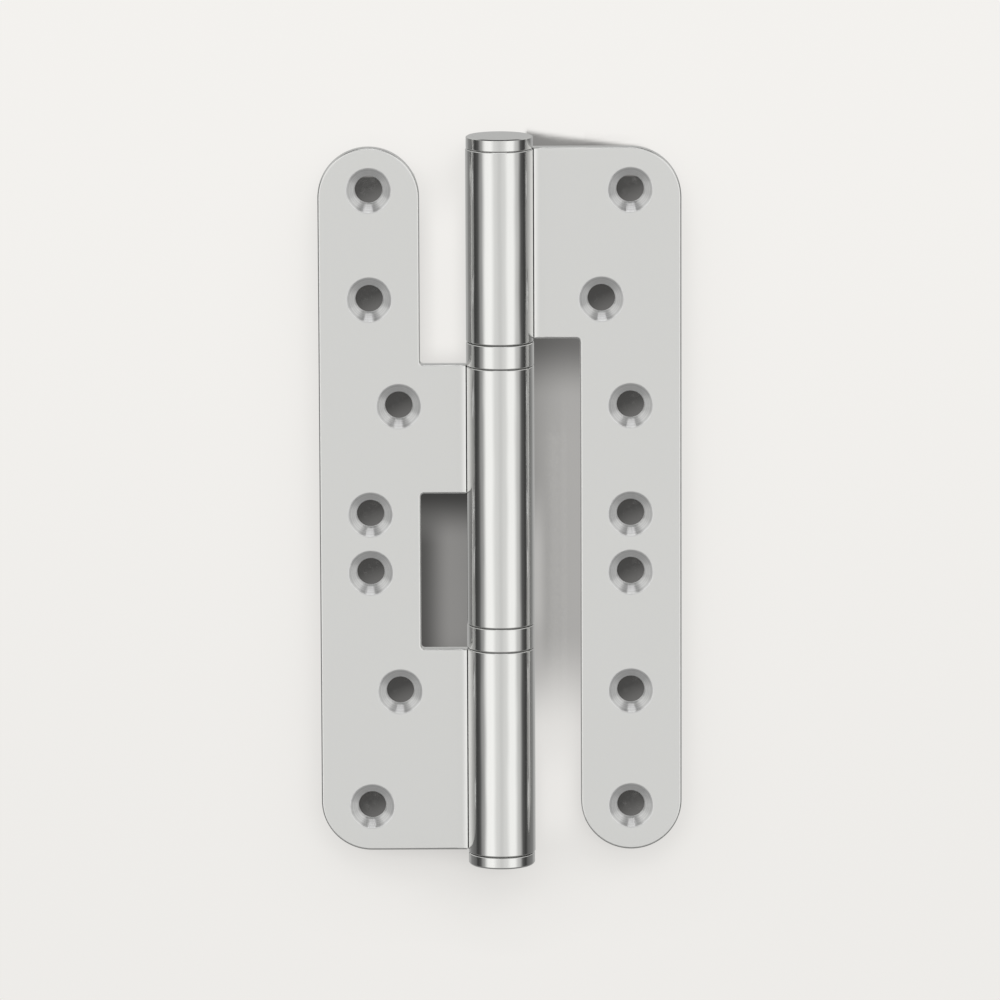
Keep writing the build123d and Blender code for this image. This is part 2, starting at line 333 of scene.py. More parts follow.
def slab(
    work: Patchwork,
    outline: Array,
    low: float,
    high: float,
    place: Placer,
    rim: float,
    holes: Sequence[Array] = (),
    skin: int = 0,
) -> None:
    """A flat closed slab with quarter-round edges at both faces.

    Each edge ring is the outline moved inwards by the rounding's inset and set
    down by its depth. Plain holes are carried through the same way.

    Args:
        work: Mesh that takes the patches.
        outline: Outer loop, counterclockwise.
        low: First face along the slab's thickness.
        high: Second face.
        place: Puts (u, v, w) into space.
        rim: Radius of the rounding.
        holes: Inner loops, counterclockwise.
        skin: Material slot of the faces.
    """
    steps = rounded_edge(rim)
    levels = np.r_[low + steps[:, 1], (high - steps[:, 1])[::-1]]
    insets = np.r_[steps[:, 0], steps[::-1, 0]]
    for loop, way in [(outline, 1.0)] + [(hole, -1.0) for hole in holes]:
        rows = [place(*inset(loop, way * i).T, np.full(len(loop), w)) for i, w in zip(insets, levels)]
        work.band(np.stack(rows), skin)
    cut = [inset(hole, -rim) for hole in holes]
    for level in (low, high):
        work.face(inset(outline, rim), cut, flat_place(place, level), skin)


def flat_place(place: Placer, level: float) -> Callable[[Array], Array]:
    """A placer for flat points at one level of a slab."""
    return lambda flat: place(flat[:, 0], flat[:, 1], np.full(len(flat), level))


def upright(side: int) -> Placer:
    """Placer of a leaf: u from the pin outwards, v up and w to the back."""
    return lambda u, v, w: np.stack([side * u, w, v], axis=-1)


def level_plane(side: int) -> Placer:
    """Placer of a knuckle's section: u outwards, v to the back and w up."""
    return lambda u, v, w: np.stack([side * u, v, w], axis=-1)


def turned(work: Patchwork, profile: Array, closed: bool, step: float, skin: int | Array = 0) -> None:
    """A turned form: each (r, z) of the profile carried round the pin's axis.

    The surface is (r cos t, r sin t, z) for t round the circle.

    Args:
        work: Mesh that takes the patch.
        profile: Rows of (radius, height).
        closed: Whether the profile is a loop, as a ring's is.
        step: Degrees between two meridians.
        skin: Material slot of the faces, or one for each segment of the profile.
    """
    if closed:
        profile = np.vstack([profile, profile[:1]])
    turn = np.radians(np.arange(0, 360, step))
    radius, height = profile[:, :1], profile[:, 1:]
    rows = np.stack(
        [radius * np.cos(turn), radius * np.sin(turn), np.broadcast_to(height, (len(profile), len(turn)))],
        axis=-1,
    )
    work.band(rows, skin)


def rounded_loop(corners: Array, radii: Sequence[float], step: float = 18.0) -> Array:
    """A profile whose corners are arcs tangent to their two sides.

    An arc of radius r leaves a corner of turn a at r tan(a / 2) along each side.

    Args:
        corners: Corners of a closed profile.
        radii: One radius for each corner, 0 for a sharp one.
        step: Degrees of arc between two points.

    Returns:
        The rounded profile.
    """
    rows = []
    for here, before, after, radius in zip(
        corners, np.roll(corners, 1, axis=0), np.roll(corners, -1, axis=0), radii
    ):
        if radius <= 0:
            rows.append(here[None])
            continue
        back = (before - here) / np.linalg.norm(before - here)
        on = (after - here) / np.linalg.norm(after - here)
        half = math.acos(float(np.clip(np.dot(back, on), -1, 1))) / 2
        middle = (back + on) / np.linalg.norm(back + on)
        centre = here + middle * radius / math.sin(half)
        start = here + back * radius / math.tan(half) - centre
        stop = here + on * radius / math.tan(half) - centre
        first = math.degrees(math.atan2(start[1], start[0]))
        sweep = math.degrees(math.atan2(stop[1], stop[0])) - first
        sweep = (sweep + 180) % 360 - 180
        rows.append(arc(centre, radius, first, first + sweep, step))
    return np.vstack(rows)


class Wiring:
    """Short ways to add and link the nodes of one tree."""

    def __init__(self, tree: bpy.types.NodeTree) -> None:
        """Take over a tree and empty it."""
        self.nodes, self.links = tree.nodes, tree.links
        self.nodes.clear()

    def node(self, kind: str, inputs: dict | None = None, **settings: object) -> bpy.types.Node:
        """One node, with its settings and with each input set or linked."""
        made = self.nodes.new(kind)
        for name, value in settings.items():
            setattr(made, name, value)
        for name, value in (inputs or {}).items():
            if isinstance(value, bpy.types.NodeSocket):
                self.links.new(value, made.inputs[name])
            else:
                made.inputs[name].default_value = value
        return made

    def maths(self, operation: str, first: object, second: object) -> bpy.types.NodeSocket:
        """Two numbers or sockets through one operation."""
        return self.node("ShaderNodeMath", {0: first, 1: second}, operation=operation).outputs[0]

    def mixed(self, share: object, first: object, second: object) -> bpy.types.NodeSocket:
        """The first number for share 0 and the second for share 1."""
        return self.node("ShaderNodeMix", {"Factor": share, "A": first, "B": second}).outputs["Result"]

    def fade(self, value: object, low: float, high: float, start: float, stop: float) -> bpy.types.NodeSocket:
        """A smooth step from start at low to stop at high."""
        inputs = {"Value": value, "From Min": low, "From Max": high, "To Min": start, "To Max": stop}
        return self.node("ShaderNodeMapRange", inputs, interpolation_type="SMOOTHSTEP").outputs["Result"]

    def window(self, value: object, edges: tuple[float, float, float, float]) -> bpy.types.NodeSocket:
        """1 between the middle two of four edges, in millimetres, and 0 outside them."""
        start, full, still, stop = (edge * MM for edge in edges)
        rising = self.fade(value, start, full, 0.0, 1.0)
        return self.maths("MULTIPLY", rising, self.fade(value, still, stop, 1.0, 0.0))

    def ramp(self, value: object, stops: Sequence[tuple[float, float]], ease: bool) -> bpy.types.NodeSocket:
        """Grey levels at positions from 0 to 1."""
        made = self.node("ShaderNodeValToRGB", {"Fac": value})
        band = made.color_ramp
        band.interpolation = "EASE" if ease else "LINEAR"
        while len(band.elements) < len(stops):
            band.elements.new(0.5)
        for element, (position, level) in zip(band.elements, stops):
            element.position = position
            element.color = (level, level, level, 1.0)
        return made.outputs["Color"]


@dataclass(frozen=True)
class Steel:
    """A metal finish: a coloured mirror with grain, fine scatter and soft marks.

    The grain is noise on Object coordinates, drawn out along one way, that
    moves the roughness a little and tilts the surface through a bump. A
    polished finish also has long shallow waves. A turned finish spreads its
    highlights across its grooves: an attribute of the mesh points out from the
    hole's axis, in millimetres, and noise on its length darkens some grooves.
    """

    name: str
    colour: tuple[float, float, float]
    roughness: float
    grain_scale: tuple[float, float, float]
    grain_bump: float
    grain_depth: float = 0.02
    cloud_scale: float = 60.0
    cloud_share: float = 0.03
    anisotropy: float = 0.0
    spread_way: str = ""
    groove_scale: float = 2.2
    groove_levels: tuple[tuple[float, float], tuple[float, float]] = ((0.38, 0.72), (0.6, 0.86))
    wave_scale: tuple[float, float, float] = (260.0, 260.0, 45.0)
    wave_depth: float = 0.0

    def noise(self, wiring: Wiring, scale: tuple[float, float, float], detail: float) -> bpy.types.NodeSocket:
        """Noise on Object coordinates with its own scale along each axis."""
        place = wiring.node("ShaderNodeTexCoord").outputs["Object"]
        stretched = wiring.node("ShaderNodeMapping", {"Vector": place, "Scale": scale}).outputs["Vector"]
        inputs = {"Vector": stretched, "Scale": 1.0, "Detail": detail, "Roughness": 0.6}
        return wiring.node("ShaderNodeTexNoise", inputs).outputs["Fac"]

    def bump(self, wiring: Wiring, height: object, strength: float, depth: float, **under: object) -> bpy.types.NodeSocket:
        """The normal tilted by a height of the given depth in millimetres."""
        inputs = {"Height": height, "Strength": strength, "Distance": depth * MM, **under}
        return wiring.node("ShaderNodeBump", inputs).outputs["Normal"]

    def material(self) -> bpy.types.Material:
        """The node material of this finish."""
        found = bpy.data.materials.get(self.name)
        if found:
            return found
        material = bpy.data.materials.new(self.name)
        material.use_nodes = True
        wiring = Wiring(material.node_tree)
        grain = self.noise(wiring, self.grain_scale, 6.0)
        cloud = self.noise(wiring, (self.cloud_scale,) * 3, 3.0)
        low, high = max(0.0, self.roughness - self.cloud_share), self.roughness + self.cloud_share
        scatter = {"Value": wiring.mixed(0.5, grain, cloud), "To Min": low, "To Max": high}
        normal = self.bump(wiring, grain, self.grain_bump, self.grain_depth)
        if self.wave_depth:
            waves = self.noise(wiring, self.wave_scale, 1.0)
            normal = self.bump(wiring, waves, 1.0, self.wave_depth, Normal=normal)
        inputs = {
            "Base Color": (*self.colour, 1.0),
            "Metallic": 1.0,
            "Roughness": wiring.node("ShaderNodeMapRange", scatter).outputs["Result"],
            "Anisotropic": self.anisotropy,
            "Normal": normal,
        }
        if self.spread_way:
            way = wiring.node("ShaderNodeAttribute", attribute_name=self.spread_way).outputs["Vector"]
            turned = {"Vector": way}
            tangent = wiring.node("ShaderNodeVectorTransform", turned, convert_from="OBJECT", convert_to="WORLD")
            inputs["Tangent"] = tangent.outputs["Vector"]
            radius = wiring.node("ShaderNodeVectorMath", {0: way}, operation="LENGTH").outputs["Value"]
            along = {"W": radius, "Scale": self.groove_scale, "Detail": 2.0}
            grooves = wiring.node("ShaderNodeTexNoise", along, noise_dimensions="1D").outputs["Fac"]
            inputs["Base Color"] = wiring.ramp(grooves, self.groove_levels, False)
        shader = wiring.node("ShaderNodeBsdfPrincipled", inputs)
        wiring.node("ShaderNodeOutputMaterial", {"Surface": shader.outputs[0]})
        return material


SATIN = Steel("satin_sheet", (0.83, 0.83, 0.82), 0.34, (900.0, 900.0, 60.0), 0.25)
POLISHED = Steel("polished_barrel", (0.765, 0.765, 0.755), 0.09, (700.0, 700.0, 12.0), 0.12, 0.01, wave_depth=0.06)
TURNED = Steel(
    "turned_countersink", (0.80, 0.80, 0.79), 0.32, (1500.0, 4000.0, 1500.0), 0.05, anisotropy=0.95, spread_way="groove_way"
)
# Painted shade: this dark colour on the joint steps of caps and rings stands in for the shadow inside the joints.
JOINT_SHADE = Steel("painted_joint_shade", (0.22, 0.22, 0.215), 0.5, (900.0, 900.0, 900.0), 0.1)
GROUND = Steel("ground_pin", (0.74, 0.74, 0.73), 0.2, (300.0, 300.0, 5000.0), 0.2)
BRONZE = Steel("bush_bronze", (0.72, 0.47, 0.25), 0.32, (500.0, 500.0, 3000.0), 0.2)
RACE = Steel("bearing_race", (0.78, 0.78, 0.77), 0.12, (800.0, 800.0, 4000.0), 0.1)
BALL = Steel("bearing_ball", (0.85, 0.85, 0.85), 0.05, (600.0, 600.0, 600.0), 0.02)
BRASS = Steel("cage_brass", (0.85, 0.62, 0.28), 0.25, (900.0, 900.0, 900.0), 0.15)


def finish_piece(
    piece: bpy.types.Object, body: str, nodes: Sequence[str]
) -> bpy.types.Object:
    """Smooth a piece, let it ride on its body and stand for its CAD nodes.

    Args:
        piece: The finished mesh object.
        body: Body that carries it.
        nodes: CAD nodes that it replaces.

    Returns:
        The same piece.
    """
    piece.data.shade_smooth()
    piece.data.set_sharp_from_angle(angle=SMOOTH_LIMIT)
    flatter = piece.modifiers.new("flat faces stay flat", "WEIGHTED_NORMAL")
    flatter.keep_sharp = True
    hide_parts(*nodes)
    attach(piece, body)
    LOG.info("%s: %d faces on %s", piece.name, len(piece.data.polygons), body)
    return piece


def fused(name: str, shells: Sequence[bpy.types.Object]) -> bpy.types.Object:
    """The union of closed shells as one closed mesh.

    Args:
        name: Name of the joined piece.
        shells: The shells, of which the first keeps its object.

    Returns:
        The joined object.
    """
    first, others = shells[0], shells[1:]
    for number, other in enumerate(others):
        union = first.modifiers.new(f"union {number}", "BOOLEAN")
        union.operation = "UNION"
        union.solver = "EXACT"
        union.object = other
    bpy.context.view_layer.update()
    graph = bpy.context.evaluated_depsgraph_get()
    mesh = bpy.data.meshes.new_from_object(first.evaluated_get(graph))
    mesh.name = name
    piece = bpy.data.objects.new(name, mesh)
    bpy.context.scene.collection.objects.link(piece)
    for shell in shells:
        bpy.data.objects.remove(shell)
    return piece


@dataclass
class Knuckle:
    """One rolled knuckle: its heights and the heights of the root that feeds it."""

    foot: float
    top: float
    root_foot: float
    root_top: float


@dataclass
class Leaf:
    """A leaf: flat sheet with countersunk holes, and its knuckles rolled from it."""

    name: str
    side: Side
    body: str
    outline: Array
    knuckles: Sequence[Knuckle]
    holes: Sequence[ScrewHole]
    sizes: Sizes = field(default_factory=Sizes)

    def roll_section(self) -> Array:
        """Section of the roll: outer circle, rounded lip, bore, and the seam's
        floor, which leaves the bore as a tangent and ends on the outer circle.
        Beside a sharp corner the first step of an arc is longer than the rim."""
        s = self.sizes
        step = Quality.BARREL.value
        start = math.degrees(math.asin(s.seam_floor / s.barrel_radius))
        lip_y = s.lip_end - s.lip_round
        lip_x = math.sqrt((s.barrel_radius - s.lip_round) ** 2 - lip_y**2)
        lip_angle = math.degrees(math.atan2(lip_y, lip_x))
        bore_start = math.degrees(math.asin(s.lip_end / s.bore_radius))
        bore_stop = start + math.degrees(math.acos(s.bore_radius / s.barrel_radius))
        return np.vstack(
            [
                arc((0, 0), s.barrel_radius, start, start, step)[:1],
                arc((0, 0), s.barrel_radius, start + s.corner_clear, 360 + lip_angle, step),
                arc((lip_x, lip_y), s.lip_round, lip_angle, 90, 6)[1:],
                arc((0, 0), s.bore_radius, bore_start, bore_start, step)[:1],
                arc((0, 0), s.bore_radius, bore_start - s.corner_clear, bore_stop - 360, step),
            ]
        )

    def root_section(self) -> Array:
        """Section of the sheet where it runs into the roll: its front rises a
        little on an arc to the seam, and its back leaves the roll on a fillet."""
        s = self.sizes
        end = s.sheet_start + s.sheet_overlap
        tilt = math.degrees(math.asin((s.bend_reach - s.bend_end) / s.bend_rise))
        front = arc((s.bend_reach, s.front_face - s.bend_rise), s.bend_rise, 90, 90 + tilt, 8)
        centre_y = s.back_face + s.back_bend
        centre_x = math.sqrt((s.barrel_radius + s.back_bend) ** 2 - centre_y**2)
        start = 180 + math.degrees(math.atan2(centre_y, centre_x))
        sunk = np.array([[9.45, 1.9], [8.6, 2.9], [6.3, 4.9]])
        return counterclockwise(
            np.vstack(
                [
                    [[end, s.front_face]],
                    front,
                    sunk,
                    arc((centre_x, centre_y), s.back_bend, start, start, 5)[:1],
                    arc((centre_x, centre_y), s.back_bend, start + 2 * s.corner_clear, 270, 5),
                    [[end, s.back_face]],
                ]
            )
        )

    def sheet(self) -> bpy.types.Object:
        """The flat sheet with its rounded outline and its countersunk holes."""
        s = self.sizes
        work = Patchwork(f"{self.name} sheet")
        place = upright(self.side)
        steps = rounded_edge(s.rim)
        insets = np.r_[steps[:, 0], steps[::-1, 0]]
        levels = np.r_[s.front_face + steps[:, 1], s.back_face - steps[::-1, 1]]
        rows = [place(*inset(self.outline, i).T, np.full(len(self.outline), w)) for i, w in zip(insets, levels)]
        work.band(np.stack(rows), Skin.SATIN)
        fronts, backs = [], []
        for hole in self.holes:
            profile = hole.profile(s.front_face, s.back_face)
            circle = arc((0, 0), 1.0, 0, 360 - Quality.CORNER.value, Quality.CORNER.value)
            centre = np.array([hole.column, hole.height])
            rings = centre + profile[:, :1, None] * circle[None]
            rows = [place(ring[:, 0], ring[:, 1], np.full(len(ring), w)) for ring, w in zip(rings, profile[:, 1])]
            work.band(np.stack(rows), Skin.TURNED)
            fronts.append(rings[0])
            backs.append(rings[-1])
        edge = inset(self.outline, s.rim)
        work.face(edge, fronts, flat_place(place, s.front_face), Skin.SATIN)
        work.face(edge, backs, flat_place(place, s.back_face), Skin.SATIN)
        return work.build([SATIN.material(), POLISHED.material(), TURNED.material()])

    def knuckle_shells(self) -> list[bpy.types.Object]:
        """The rolls and the roots that run into them, as closed shells."""
        s = self.sizes
        finishes = [SATIN.material(), POLISHED.material(), TURNED.material()]
        shells = []
        for number, knuckle in enumerate(self.knuckles):
            for part, section, low, high, rim, skin in (
                ("roll", self.roll_section(), knuckle.foot, knuckle.top, s.roll_rim, Skin.POLISHED),
                ("root", self.root_section(), knuckle.root_foot, knuckle.root_top, s.rim, Skin.SATIN),
            ):
                work = Patchwork(f"{self.name} {part} {number}")
                slab(work, section, low, high, level_plane(self.side), rim, skin=skin)
                shells.append(work.build(finishes))
        return shells

    def mark_grooves(self, mesh: bpy.types.Mesh) -> None:
        """Store at each vertex the way out from the axis of the nearest screw
        hole, in millimetres, which lies across the grooves of a countersink."""
        points = np.empty(3 * len(mesh.vertices), np.float32)
        mesh.vertices.foreach_get("co", points)
        flat = points.reshape(-1, 3)[:, [0, 2]] / MM
        centres = np.array([[self.side * hole.column, hole.height] for hole in self.holes])
        apart = flat[:, None] - centres[None]
        nearest = np.linalg.norm(apart, axis=2).argmin(axis=1)
        way = np.insert(apart[np.arange(len(flat)), nearest], 1, 0.0, axis=1)
        mesh.attributes.new("groove_way", "FLOAT_VECTOR", "POINT").data.foreach_set("vector", way.ravel())

    def build(self) -> bpy.types.Object:
        """The whole leaf as one piece on its body."""
        piece = fused(f"{self.name}_dressed", [self.sheet(), *self.knuckle_shells()])
        self.mark_grooves(piece.data)
        return finish_piece(piece, self.body, [self.name])


def frame_leaf(sizes: Sizes, holes: Sequence[ScrewHole]) -> Leaf:
    """The leaf on the frame: full-round top, tab, slot and long root."""
    s, step = sizes, Quality.CORNER.value
    near = s.sheet_start
    tab_foot = s.middle_knuckle_top - s.tab_height
    root_top = s.lower_knuckle_top - s.frame_root_step
    notch = s.strip_inner - s.notch_radius
    half = s.strip_width / 2
    outline = np.vstack(
        [
            [[near, s.foot]],
            arc((s.leaf_reach - s.corner_radius, s.foot + s.corner_radius), s.corner_radius, -90, 0, step),
            arc((s.strip_middle, s.top - half), half, 0, 180, step),
            arc((notch, s.middle_knuckle_top + s.notch_radius), s.notch_radius, 0, -90, 9),
            [[near, s.middle_knuckle_top], [near, tab_foot]],
            arc((notch, tab_foot - s.notch_radius), s.notch_radius, 90, 0, 9),
            arc((notch, root_top + s.notch_radius), s.notch_radius, 0, -90, 9),
            [[near, root_top]],
        ]
    )
    knuckles = [
        Knuckle(s.middle_knuckle_foot, s.middle_knuckle_top, tab_foot, s.middle_knuckle_top),
        Knuckle(s.foot, s.lower_knuckle_top, s.foot, root_top),
    ]
    return Leaf("frame_leaf", Side.FRAME, "frame_side", outline, knuckles, holes, s)


def door_leaf(sizes: Sizes, holes: Sequence[ScrewHole]) -> Leaf:
    """The leaf on the door: a root at the top and a strip with a full-round foot."""
    s, step = sizes, Quality.CORNER.value
    near = s.sheet_start
    root_foot = s.door_knuckle_foot + s.door_root_step
    notch = s.strip_inner - s.notch_radius
    half = s.strip_width / 2
    outline = np.vstack(
        [
            arc((s.strip_middle, s.foot + half), half, 180, 360, step),
            arc((s.leaf_reach - s.corner_radius, s.top - s.corner_radius), s.corner_radius, 0, 90, step),
            [[near, s.top], [near, root_foot]],
            arc((notch, root_foot - s.notch_radius), s.notch_radius, 90, 0, 9),
        ]
    )
    knuckles = [Knuckle(s.door_knuckle_foot, s.top, root_foot, s.top)]
    return Leaf("door_leaf", Side.DOOR, "door_side", outline, knuckles, holes, s)


@dataclass
class TurnedPiece:
    """A piece turned about the pin's axis, from the corners of its profile."""

    name: str
    body: str
    slot: str
    finish: Steel
    corners: Sequence[tuple[float, float]]
    radii: Sequence[float]
    # Heights whose faces get the painted joint shade.
    shaded_heights: Sequence[tuple[float, float]] = ()
    step: float = Quality.BARREL.value

    def build(self) -> bpy.types.Object:
        """The turned mesh on its body, with painted shade at the heights that are named so."""
        work = Patchwork(f"{self.name}_dressed")
        profile = rounded_loop(np.array(self.corners, float), self.radii)
        middle = (profile[:, 1] + np.roll(profile[:, 1], -1)) / 2
        skin = np.zeros(len(profile), int)
        for low, high in self.shaded_heights:
            skin[(middle > low - 1e-6) & (middle < high + 1e-6)] = 1
        turned(work, profile, True, self.step, skin)
        # The second slot holds the painted shade of the joints.
        finishes = [self.finish.material(), JOINT_SHADE.material()]
        return finish_piece(work.build(finishes), self.body, [self.name])


@dataclass
class Barrel:
    """Caps, rings, pin and bushes on the pin's axis."""

    sizes: Sizes = field(default_factory=Sizes)
    cap_height: float = 3.5
    top_bevel: tuple[float, float] = (0.45, 0.26)
    bottom_bevel: tuple[float, float] = (0.35, 0.45)
    bevel_round: float = 0.06
    spigot: float = 8.0
    joint_round: float = 0.35
    joint_deep: float = 0.5
    cap_inset: float = 0.15
    bush_wall: float = 1.0
    bush_length: float = 19.5
    bush_gap: float = 0.5
    bush_split: float = 0.4
    lead_in: float = 1.6
    shoulder_drop: float = 0.5
    pin_end_gap: float = 0.5

    def cap(
        self, name: str, body: str, seat: float, way: int, joint: float, bevel: tuple[float, float]
    ) -> TurnedPiece:
        """A bevelled cap on a seat height, which faces up for way 1 and down for -1.

        Its joint is a narrow step beside the seat with painted shade on it, and its bevel is
        given as depth and height.
        """
        s = self.sizes
        inner = s.bore_radius - s.seat
        outer = s.barrel_radius - self.cap_inset
        step = seat + way * joint
        top, tip = seat + way * self.cap_height, seat - way * self.spigot
        corners = [
            (0.0, top),
            (outer - bevel[0], top),
            (outer, top - way * bevel[1]),
            (outer, step),
            (outer - self.joint_deep, step),
            (outer - self.joint_deep, seat),
            (inner, seat),
            (inner, tip),
            (0.0, tip),
        ]
        radii = [0, self.bevel_round, self.bevel_round, self.joint_round, 0, 0, 0, 0.5, 0]
        # The joint step gets the painted shade.
        shaded_heights = [(min(seat, step), max(seat, step))]
        return TurnedPiece(name, body, "polished_steel", POLISHED, corners, radii, shaded_heights)

    def ring(self, name: str, foot: float, top: float, inner: float, joints: tuple[float, float]) -> TurnedPiece:
        """A plain ring of the barrel, with a narrow step at each joint that carries painted shade."""
        outer, edge = self.sizes.barrel_radius, self.joint_round
        deep = outer - self.joint_deep
        low, high = foot + joints[0], top - joints[1]
        corners = [
            (inner, foot),
            (deep, foot),
            (deep, low),
            (outer, low),
            (outer, high),
            (deep, high),
            (deep, top),
            (inner, top),
        ]
        radii = [0.1, 0, 0, edge, edge, 0, 0, 0.1]
        # Both joint steps get the painted shade.
        shaded_heights = [(foot, low), (high, top)]
        return TurnedPiece(name, "frame_side", "polished_steel", POLISHED, corners, radii, shaded_heights)

    def pin(self) -> TurnedPiece:
        """The pin, stepped at the thrust bearing and led in at its top."""
        s = self.sizes
        wide = s.bore_radius - s.fit
        slim = s.bore_radius - s.seat - self.bush_wall - s.fit
        foot = s.foot + self.spigot
        shoulder = s.door_knuckle_foot - self.shoulder_drop
        top = s.top - self.spigot - self.pin_end_gap
        corners = [
            (0.0, foot),
            (wide, foot),
            (wide, shoulder),
            (slim, shoulder),
            (slim, top - 2 * self.lead_in),
            (slim - self.lead_in, top),
            (0.0, top),
        ]
        radii = [0, 0.8, 0.2, 0, 2.0, 0.8, 0]
        return TurnedPiece("hinge_pin", "frame_side", "ground_steel", GROUND, corners, radii, step=3.0)

    def bush(self, name: str, foot: float) -> bpy.types.Object:
        """A bush rolled from strip, open along a narrow split at the back."""
        s = self.sizes
        outer = s.bore_radius - s.seat
        inner = outer - self.bush_wall
        half_out = math.degrees(math.asin(self.bush_split / 2 / outer))
        half_in = math.degrees(math.asin(self.bush_split / 2 / inner))
        section = np.vstack(
            [
                arc((0, 0), outer, 90 + half_out, 450 - half_out, 4),
                arc((0, 0), inner, 450 - half_in, 90 + half_in, 4),
            ]
        )
        work = Patchwork(f"{name}_dressed")
        slab(work, section, foot, foot + self.bush_length, level_plane(1), 0.12)
        return finish_piece(work.build([BRONZE.material()]), "door_side", [name])

    def build(self) -> None:
        """Build every piece of the barrel."""
        s = self.sizes
        self.cap("top_cap", "door_side", s.top, 1, 0.05, self.top_bevel).build()
        self.cap("bottom_cap", "frame_side", s.foot, -1, 0.25, self.bottom_bevel).build()
        self.ring("spacer_ring", s.lower_knuckle_top, s.middle_knuckle_foot, s.bore_radius, (0.2, 0.2)).build()
        self.pin().build()
        self.bush("lower_bush", s.door_knuckle_foot + self.bush_gap)
        self.bush("upper_bush", s.top - self.spigot - self.bush_gap - self.bush_length)


@dataclass
class ThrustBearing:
    """The sealed ball thrust bearing between the leaves."""

    sizes: Sizes = field(default_factory=Sizes)
    sleeve_wall: float = 0.8
    sleeve_gap: float = 0.1
    race: float = 2.6
    balls: int = 12
    ball_radius: float = 1.25
    groove_radius: float = 1.35
    cage: float = 1.2
    cage_fit: float = 0.1
    pocket_fit: float = 0.05

    @property
    def race_outer(self) -> float:
        """Outer radius of the races."""
        return self.sizes.barrel_radius - self.sleeve_wall - self.sizes.fit

    @property
    def ball_circle(self) -> float:
        """Radius of the circle that the balls run on."""
        return (self.sizes.bore_radius + self.race_outer) / 2

    @property
    def ball_height(self) -> float:
        """Height of the balls' centres."""
        return (self.sizes.middle_knuckle_top + self.sizes.door_knuckle_foot) / 2

    def race_piece(self, name: str, body: str, seat: float, way: int) -> bpy.types.Object:
        """A race with its ball groove: way is 1 for the lower one, -1 for the upper."""
        inner, outer = self.sizes.bore_radius, self.race_outer
        face = seat + way * self.race
        groove_z = self.ball_height + way * (self.groove_radius - self.ball_radius - self.sizes.fit)
        half = math.sqrt(self.groove_radius**2 - (groove_z - face) ** 2)
        reach = math.degrees(math.asin(half / self.groove_radius))
        groove = arc((self.ball_circle, groove_z), self.groove_radius, -90 * way - reach, -90 * way + reach, 10)
        if way < 0:
            groove = groove[::-1]
        edges = rounded_loop(np.array([[inner, seat], [outer, seat], [outer, face], [inner, face]]), [0.1, 0.2, 0.2, 0.1])
        split = len(edges) - 3
        profile = np.vstack([edges[: split - 1], groove[::-1], edges[split - 1:]])
        work = Patchwork(f"{name}_dressed")
        turned(work, profile, True, 3.0)
        return finish_piece(work.build([RACE.material()]), body, [name])

    def cage_piece(self) -> bpy.types.Object:
        """The flat brass cage with a round pocket for each ball."""
        s = self.sizes
        outer = s.barrel_radius - self.sleeve_wall - self.cage_fit
        inner = s.bore_radius - s.fit + self.cage_fit
        circle = arc((0, 0), 1.0, 0, 357, 3)
        pocket = arc((0, 0), self.ball_radius + self.pocket_fit, 0, 345, 15)
        places = arc((0, 0), self.ball_circle, 0, 360 - 360 / self.balls, 360 / self.balls)
        holes = [circle * inner] + [pocket + place for place in places]
        low = self.ball_height - self.cage / 2
        work = Patchwork("ball_cage_dressed")
        slab(work, circle * outer, low, low + self.cage, level_plane(1), 0.08, holes)
        return finish_piece(work.build([BRASS.material()]), "ball_ring", ["ball_cage"])

    def ball(self, number: int) -> bpy.types.Object:
        """One ball: r (cos a cos t, cos a sin t, sin a) about its place in the cage."""
        turn = 2 * math.pi * (number - 1) / self.balls
        up = np.radians(np.linspace(-90, 90, 17))[:, None]
        around = np.radians(np.arange(0, 360, 11.25))[None]
        radius = self.ball_radius
        rows = np.stack(
            [
                self.ball_circle * math.cos(turn) + radius * np.cos(up) * np.cos(around),
                self.ball_circle * math.sin(turn) + radius * np.cos(up) * np.sin(around),
                self.ball_height + radius * np.sin(up) * np.ones_like(around),
            ],
            axis=-1,
        )
        name = f"ball_{number:02d}"
        work = Patchwork(f"{name}_dressed")
        work.band(rows)
        return finish_piece(work.build([BALL.material()]), "ball_ring", [name])

    def build(self) -> None:
        """Build the sleeve, the races, the cage and the balls."""
        s = self.sizes
        inner = s.barrel_radius - self.sleeve_wall
        top = s.door_knuckle_foot - self.sleeve_gap
        Barrel(s).ring("bearing_sleeve", s.middle_knuckle_top, top, inner, (0.2, 0.14)).build()
        self.race_piece("lower_race", "frame_side", s.middle_knuckle_top, 1)
        self.race_piece("upper_race", "turning_race", s.door_knuckle_foot, -1)
        self.cage_piece()
        for number in range(1, self.balls + 1):
            self.ball(number)


def smooth_between(values: Array, low: float, high: float) -> Array:
    """A smooth step, t t (3 - 2 t), from 0 at low to 1 at high."""
    t = np.clip((values - low) / (high - low), 0, 1)
    return t * t * (3 - 2 * t)


@dataclass(frozen=True)
class Shade:
    """A soft-edged oblong of shade or light on the backdrop, in millimetres.

    Its strength rises between the first two numbers of each four and falls
    between the last two. At full strength it leaves the level of the light.
    The level may grow across the oblong, and its upper edge may lean.
    """

    across: tuple[float, float, float, float]
    up: tuple[float, float, float, float]
    level: float
    growth: tuple[float, float] = (0.0, 0.0)
    lean: float = 0.0

    def left(self, x: Array, z: Array) -> Array:
        """Share of the light that it leaves, 1 - strength (1 - level), at each place."""
        middle_x = (self.across[0] + self.across[3]) / 2
        middle_z = (self.up[0] + self.up[3]) / 2
        level = self.level + self.growth[0] * (x - middle_x) + self.growth[1] * (z - middle_z)
        strength = np.ones_like(x)
        for way, (start, full, still, stop) in ((x, self.across), (z - self.lean * (x - self.across[1]), self.up)):
            strength = strength * smooth_between(way, start, full) * (1 - smooth_between(way, still, stop))
        return 1 - strength * (1 - np.maximum(level, 0.78 * self.level))


